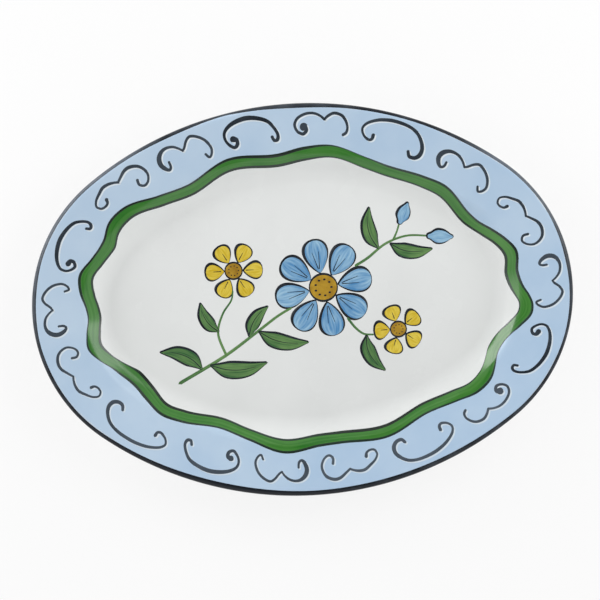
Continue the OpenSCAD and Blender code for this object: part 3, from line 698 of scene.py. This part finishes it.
# brush scrolls on the rim: each stroke has points of run along the rim, inset and width,
# each place a direction, strokes, shift inwards, tilt, stretch along and across, weight, load of ink
rimScrolls = dict(
    hookedLeft=[
        (-14.5, 24.5, 1.4), (-16.5, 27.5, 1.5), (-19, 25.5, 1.5), (-20, 21, 1.6), (-17.5, 15, 1.7),
        (-13, 10.5, 1.7), (-8, 8.3, 1.7), (-4.5, 10.3, 1.6), (-1.5, 14.3, 1.5), (0.5, 16, 1.3),
    ],
    hookedRight=[
        (0.5, 16, 1.3), (3, 13, 1.4), (6.5, 10.3, 1.6), (11, 9.3, 1.8), (15, 10.3, 2.3),
        (18.3, 13.5, 2.9), (19.5, 18, 2.9), (18, 22.5, 2.4), (15.5, 24.7, 1.8), (13.5, 23, 1.6),
        (13.2, 19.5, 1.5),
    ],
    curledLeft=[
        (-13.5, 19.5, 1.8), (-13, 23, 1.7), (-16, 25.5, 1.6), (-20, 24, 1.5), (-22.5, 19.5, 1.6),
        (-21.5, 14.5, 1.8), (-18.5, 10.5, 2), (-13.5, 8.2, 2.2), (-9, 8.5, 2), (-4.5, 10.8, 1.7),
        (-1, 12.7, 1.5),
    ],
    curledRight=[
        (-1, 12.7, 1.5), (2, 11, 1.6), (6, 9.5, 1.9), (10.5, 9.2, 2), (15, 11, 1.8), (19.5, 13.2, 1.5),
        (22.3, 16.5, 1.4), (21, 20, 1.5), (17.5, 21, 1.5), (14.5, 20, 1.7), (13.5, 17.8, 2.2),
    ],
    dottedLeft=[
        (-17, 22.3, 1.8), (-19, 20.5, 1.7), (-19.5, 16.5, 1.5), (-17.5, 11.5, 1.7), (-14, 8.2, 1.8),
        (-9, 7.2, 1.8), (-5, 9.3, 1.7), (-2.3, 12, 1.5),
    ],
    dottedRight=[
        (-2.3, 12, 1.5), (1.5, 9.3, 1.5), (6, 7.8, 1.6), (11.5, 8.3, 1.7), (17, 11.3, 1.7),
        (19.3, 16, 1.7), (17.5, 20.8, 1.7), (13.5, 23, 2), (11, 20.5, 2.6), (12.5, 18, 4.6),
    ],
    openArch=[
        (-14, 24.5, 1.9), (-16, 27.5, 2.2), (-20, 27.5, 2.4), (-23, 24.5, 2.7), (-23.3, 19.5, 2.5),
        (-20.5, 14, 2.2), (-15.5, 9.3, 2), (-8, 6.7, 2), (2, 6, 2.2), (10, 7, 2.1), (16, 9, 1.9),
        (21, 12, 1.7), (23.3, 16, 1.5), (21.5, 20.5, 1.5), (17.5, 23.2, 1.7), (15, 22.3, 1.9),
        (14.5, 19.5, 2.2),
    ],
    dottedArch=[
        (-15, 23.5, 1.8), (-16.5, 26.2, 2), (-19, 25.5, 2.2), (-19.3, 21.5, 1.9), (-16.5, 16, 1.9),
        (-12.5, 11.5, 2.2), (-6, 8.5, 2.5), (1.5, 7, 2.8), (9, 7.8, 2.7), (15, 10, 2.3), (19, 13.5, 1.9),
        (20, 18, 1.7), (18.5, 22.5, 1.7), (15, 26, 2), (12, 24.5, 2.3), (11.8, 21.3, 2.6), (14, 20, 3.6),
    ],
    doubles=[
        (1.7, "hooked", -1.3, -3.5, 0.95, 0.95, 1.35, 0.65), (32, "curled", 4.5, 5, 1, 1, 1.3, 0.75),
        (58, "hooked", 2.2, 0, 1.07, 0.88, 1.5, 0.75), (85, "dotted", 0, 0, 1, 1, 1.5, 0.8),
        (110, "hooked", 0, 0, 1, 1, 1.5, 0.7), (123, "curled", 0, 0, 1, 1, 1.45, 0.7),
        (178.5, "hooked", -0.7, 0, 0.96, 0.97, 1.36, 0.65),
        (208.5, "curled", 3.2, 5, 1, 0.97, 1.25, 0.55), (264.5, "hooked", 1.5, 0, 0.98, 0.97, 1.36, 0.55),
        (277, "curled", 4, 6, 0.95, 1.05, 1.36, 0.45), (304.3, "dotted", 3.5, 0, 1, 0.83, 1.35, 0.45),
    ],
    arches=[
        (72, "openArch", 0, 0, 1, 1, 1.45, 0.85), (97.5, "dottedArch", 0, 0, 1, 1, 1.5, 0.9),
        (149.5, "dottedArch", 0.6, 6, 1.04, 0.85, 1.33, 0.8),
        (237, "openArch", 1.8, 0, 1.09, 0.87, 1.38, 0.55),
        (251.5, "dottedArch", 2.5, 2, 1.08, 0.93, 1.33, 0.55),
        (291, "openArch", 2, 4.5, 1, 0.9, 1.4, 0.45), (331, "dottedArch", 1.5, 0, 1.06, 0.85, 1.22, 0.9),
    ],
    highlightShift=(0.9, -0.9), thickness=0.06, highlightThickness=0.04,
)


# adds a tip beyond both ends, so that the round end lies where the brush stops
def withTips(line):
    (a, wide), (b, _) = line[0], line[1]
    (y, _), (z, broad) = line[-2], line[-1]
    start = (a + (a - b).normalized() * wide / 2, wide)
    end = (z + (z - y).normalized() * broad / 2, broad)
    return [start] + line + [end]


def placedStroke(points, place, shift=(0, 0)):
    phi, _, inwards, tilt, stretch, spread, weight, _ = place
    line = []
    for run, inset, wide in points:
        run *= stretch
        inset = scrollLine + (inset - scrollLine) * spread + inwards + run * math.tan(math.radians(tilt))
        line.append((rimPoint(rimDirection(phi, run), inset) + Vector(shift), wide * weight))
    return withTips(line)


def strokesOf(places, shift=(0, 0)):
    lines, loads = [], []
    for place in places:
        sides = [place[1]] if place[1] in rimScrolls else [place[1] + "Left", place[1] + "Right"]
        lines += [placedStroke(rimScrolls[side], place, shift) for side in sides]
        loads += [place[-1]] * len(sides)
    return lines, loads


def makeStrokes(name, lines, material, slot, cadNode, thickness, spacing=0.4, across=7, loads=None):
    half = [wide / 2 * mm for line in lines for _, wide in line]
    load = [share for line, share in zip(lines, loads or [evenLoad] * len(lines)) for _ in line]
    paths = [[spot.to_3d() * mm for spot, _ in line] for line in lines]
    piece = lineMesh(name, paths, halfWidth=half, load=load)
    return finishPiece(piece, brushStroke, {
        "Platter": body, "Spacing": spacing * mm, "Across": across, "Thickness": thickness * mm,
        "Material": material,
    }, slot, cadNode)


def makeScrolls(name, places, material, slot, cadNode, thickness, shift=(0, 0)):
    lines, loads = strokesOf(places, shift)
    return makeStrokes(name, lines, material, slot, cadNode, thickness, loads=loads)


makeScrolls("doubleScrolls", rimScrolls["doubles"], scrollInk, "ink_dark", "double_scrolls",
            rimScrolls["thickness"])
makeScrolls("archScrolls", rimScrolls["arches"], scrollInk, "ink_dark", "arch_scrolls",
            rimScrolls["thickness"])
makeScrolls("scrollHighlights", rimScrolls["doubles"] + rimScrolls["arches"], printWhite, "print_white",
            "scroll_highlights", rimScrolls["highlightThickness"], rimScrolls["highlightShift"])
print("scrolls drawn")


# flower spray on the floor: stems as points with widths, blades as base, direction, length, width, bend,
# flowers as centre, reach, petals, petal width, first direction, eye
flowerSpray = dict(
    stems=[[(-92, -56, 2.6), (-60, -39, 2.4), (-36, -23, 2.2), (-20, -12, 2), (-9, -6, 1.8)],
           [(41, 23, 2), (50, 28, 2), (64, 38, 1.8), (80, 43, 1.6), (96, 42, 1.4)],
           [(-59, -38, 2), (-64, -22, 1.8), (-60, -8, 1.6), (-53, 2, 1.4), (-51.5, 9, 1.3)],
           [(33, -16, 1.9), (38, -23, 1.8), (44, -28, 1.6), (51, -29, 1.4)],
           [(70, 41, 1.6), (73, 47, 1.4), (75, 53, 1.4)]],
    leaves=[(-78, -47, 125, 32, 11, 30), (-70, -45.5, -25, 40, 12, 25), (-41, -24.5, 80, 25, 9, -25),
            (-33, -22.5, -40, 36, 11, 25), (58, 35.5, 130, 30, 10, -30), (68, 37.5, -40, 30, 10, 30),
            (46, -30, -100, 28, 10, 35), (-64, -20, 150, 24, 9, -30)],
    buds=[(97, 42, -5, 16, 10, 0), (75.5, 54, 65, 14, 9, 0)],
    blueFlower=(16, 8, 36, 8, 18, 10, 10),
    yellowFlowers=[(-50, 24, 21, 6, 12.5, 0, 6), (70, -26, 18, 5, 13, 36, 5.5)],
    leafWidths=(0.08, 0.95, 0.85, 0.06), budWidths=(0.4, 1, 0.9, 0.2), places=(0, 0.3, 0.66, 1),
    petalGap=1.5, petalSkew=1.6, petalSteps=16, ink=0.9, vein=0.9, dots=9, register=(0.45, -0.35),
    stemThickness=0.025, inkThickness=0.035, fillThickness=0.05, veinThickness=0.065,
)


def bladePoint(blade, share):
    x, y, turn, length, _, bend = blade
    return Vector((x, y)) + along(turn + bend * share, length * share)


def bladeLine(blade, widths, extra=0.0, shift=(0, 0)):
    line = []
    for share, wide in zip(flowerSpray["places"], widths):
        line.append((bladePoint(blade, share) + Vector(shift), blade[4] * wide + 2 * extra))
    return withTips(line)


# fine line along a leaf or petal, spreading aside towards the tip
def veinLine(blade, first, last, aside=0.0):
    line = []
    for i in range(4):
        share = first + (last - first) * i / 3
        off = along(blade[2] + blade[5] * share + 90, aside * share)
        line.append((bladePoint(blade, share) + off, flowerSpray["vein"] * (1.1 - 0.2 * i)))
    return withTips(line)


def petalBlades(flower):
    x, y, reach, count, wide, first, eye = flower
    base = eye + flowerSpray["petalGap"]
    turns = [first + 360 * i / count for i in range(count)]
    return [(*(Vector((x, y)) + along(turn, base)), turn, reach - base, wide, 0) for turn in turns]


# egg-shaped petal, broadest towards its end; near its tips the width allows for the brush's own rounding
def petalLine(blade, extra=0.0, shift=(0, 0)):
    x, y, turn, length, wide, _ = blade
    start = Vector((x, y)) + Vector(shift) - along(turn, extra)
    length, wide = length + 2 * extra, wide + 2 * extra
    line, steps = [], flowerSpray["petalSteps"]
    for i in range(steps + 1):
        share = min(max(0.5 - math.cos(math.pi * i / steps) / 2, 0.001), 0.999)
        skewed = share ** flowerSpray["petalSkew"]
        half = wide * math.sqrt(skewed * (1 - skewed))
        toTip = length * min(share, 1 - share)
        if toTip < half:
            half = (half * half + toTip * toTip) / (2 * toTip)
        line.append((start + along(turn, length * share), 2 * half))
    return line


def discLine(spot, radius):  # a round dab, as a stroke from side to side
    return [(Vector(spot) + Vector((radius * t, 0)), 2 * radius) for t in (-1, 0, 1)]


def makeSpray():
    spray = flowerSpray
    fill, ink, shift = spray["fillThickness"], spray["ink"], spray["register"]
    bluePetals = petalBlades(spray["blueFlower"])
    yellowPetals = [blade for flower in spray["yellowFlowers"] for blade in petalBlades(flower)]
    leafBlades = [(blade, spray["leafWidths"]) for blade in spray["leaves"]]
    budBlades = [(blade, spray["budWidths"]) for blade in spray["buds"]]
    eyes = [(flower[:2], flower[6]) for flower in [spray["blueFlower"]] + spray["yellowFlowers"]]

    stems = [withTips([(Vector((x, y)), wide) for x, y, wide in stem]) for stem in spray["stems"]]
    leaves = [bladeLine(*row, shift=shift) for row in leafBlades]
    blue = [petalLine(petal, shift=shift) for petal in bluePetals]
    blue += [bladeLine(*row, shift=shift) for row in budBlades]
    yellow = [petalLine(petal, shift=shift) for petal in yellowPetals]
    discs = [discLine(*eye) for eye in eyes]
    outlines = [bladeLine(*row, extra=ink) for row in leafBlades + budBlades]
    outlines += [petalLine(petal, ink) for petal in bluePetals + yellowPetals]
    outlines += [discLine(spot, radius + ink) for spot, radius in eyes]
    veins = [veinLine(leaf, 0.03, 0.8) for leaf in spray["leaves"]]
    veins += [veinLine(petal, 0.15, 0.55) for petal in yellowPetals]
    veins += [veinLine(petal, 0.12, 0.62, aside) for petal in bluePetals for aside in (-4, 4)]
    for spot, radius in eyes:
        for i in range(spray["dots"]):
            dot = Vector(spot) + along(360 * i / spray["dots"], radius * 0.6)
            veins.append(discLine(dot, radius * 0.1))

    for row in [  # name, lines, material, slot, node, thickness, spacing, points across
        ("sprayStems", stems, leafGreen, "leaf_green", "spray_stems", spray["stemThickness"], 0.8, 7),
        ("sprayLeaves", leaves, leafGreen, "leaf_green", "spray_leaves", fill, 0.6, 15),
        ("bluePetals", blue, petalBlue, "petal_blue", "blue_petals", fill, 0.4, 15),
        ("yellowPetals", yellow, petalYellow, "petal_yellow", "yellow_petals", fill, 0.4, 15),
        ("flowerEyes", discs, eyeOchre, "eye_ochre", "flower_eyes", fill, 0.3, 21),
        ("sprayOutlines", outlines, sprayInk, "ink_dark", "spray_ink_lines", spray["inkThickness"], 0.4, 15),
        ("sprayVeins", veins, sprayInk, "ink_dark", "spray_ink_lines", spray["veinThickness"], 0.25, 7),
    ]:
        makeStrokes(*row)


makeSpray()
print("spray painted")


# floor, light and camera
studio = dict(
    dome=0.86, overhead=0.29, front=0.2,  # light round about, right above, and how much more from the front
    floorReach=4, floorDrop=0.0003, floorShade=0.2,  # metres, and how much of its shading the camera sees
    boxes=[  # turn, rise, reach, size, power
        ("rightSoftbox", 24, 18, 1.2, (0.7, 0.7), 4.2), ("rightTop", 18, 42, 1.2, (0.4, 0.35), 0.9),
        ("rightUpper", 45, 34, 1.2, (0.5, 0.4), 1.0), ("leftSoftbox", 144, 14, 1.2, (0.74, 0.5), 5.9),
        ("leftReflector", 172, 20, 1.2, (0.6, 0.7), 1.7),
    ],
)


def makeFloor():
    mesh = bpy.data.meshes.new("floor")
    reach, drop = studio["floorReach"], studio["floorDrop"]
    corners = [(x * reach, y * reach, -drop) for x, y in ((-1, -1), (1, -1), (1, 1), (-1, 1))]
    mesh.from_pydata(corners, [], [(0, 1, 2, 3)])
    floor = bpy.data.objects.new("floor", mesh)
    scene.collection.objects.link(floor)
    material = bpy.data.materials.new("paleFloor")
    material.use_nodes = True
    tree = material.node_tree
    tree.nodes.remove(tree.nodes["Principled BSDF"])
    matt = node(tree, "ShaderNodeBsdfDiffuse", {"Color": (0.9, 0.9, 0.9, 1)}).outputs[0]
    bright = node(tree, "ShaderNodeEmission", {"Color": (1, 1, 1, 1), "Strength": 1.0}).outputs[0]
    seen = node(tree, "ShaderNodeMixShader", {0: studio["floorShade"], 1: bright, 2: matt}).outputs[0]
    rays = node(tree, "ShaderNodeLightPath").outputs
    mixed = node(tree, "ShaderNodeMixShader", {0: rays["Is Camera Ray"], 1: matt, 2: seen}).outputs[0]
    tree.links.new(mixed, tree.nodes["Material Output"].inputs[0])
    mesh.materials.append(material)


def addSoftbox(name, place, aim, size, power):
    lamp = bpy.data.lights.new(name, "AREA")
    lamp.shape = "RECTANGLE"
    lamp.size, lamp.size_y = size
    lamp.energy = power
    box = bpy.data.objects.new(name, lamp)
    box.location = place
    box.rotation_euler = (Vector(aim) - Vector(place)).to_track_quat("-Z", "Y").to_euler()
    scene.collection.objects.link(box)


def lightStudio():
    world = bpy.data.worlds.new("studio")
    scene.world = world
    world.use_nodes = True
    tree = world.node_tree
    way = node(tree, "ShaderNodeTexCoord").outputs["Generated"]
    parts = node(tree, "ShaderNodeSeparateXYZ", {0: way}).outputs
    fade = {"Value": parts[2], "From Min": 0.7, "From Max": 0.97,
            "To Min": studio["dome"], "To Max": studio["overhead"]}
    level = node(tree, "ShaderNodeMapRange", fade, interpolation_type="SMOOTHSTEP").outputs[0]
    level = calc(tree, "MULTIPLY", level, calc(tree, "MULTIPLY_ADD", parts[1], -studio["front"], 1.0))
    tree.nodes["Background"].inputs["Color"].default_value = (1, 1, 1, 1)
    tree.links.new(level, tree.nodes["Background"].inputs["Strength"])
    for name, turn, rise, reach, size, power in studio["boxes"]:
        spot = along(turn, reach * along(rise).x)
        addSoftbox(name, (spot.x, spot.y, reach * along(rise).y), (0, 0, 0.02), size, power)


# straight from above, turned a little, through a long lens; span is the width of the picture at the lip
camera = dict(span=443.1, middle=(-1.87, -0.37), turn=-3.18, lens=200, level=25)


def makeCamera():
    lens = bpy.data.cameras.new("camera")
    lens.lens = camera["lens"]
    lens.clip_end = 50
    view = bpy.data.objects.new("camera", lens)
    distance = camera["span"] * camera["lens"] / lens.sensor_width
    view.location = Vector((*camera["middle"], camera["level"] + distance)) * mm
    view.rotation_euler = (0, 0, math.radians(camera["turn"]))
    scene.collection.objects.link(view)
    scene.camera = view


makeFloor()
lightStudio()
makeCamera()
print("studio ready")
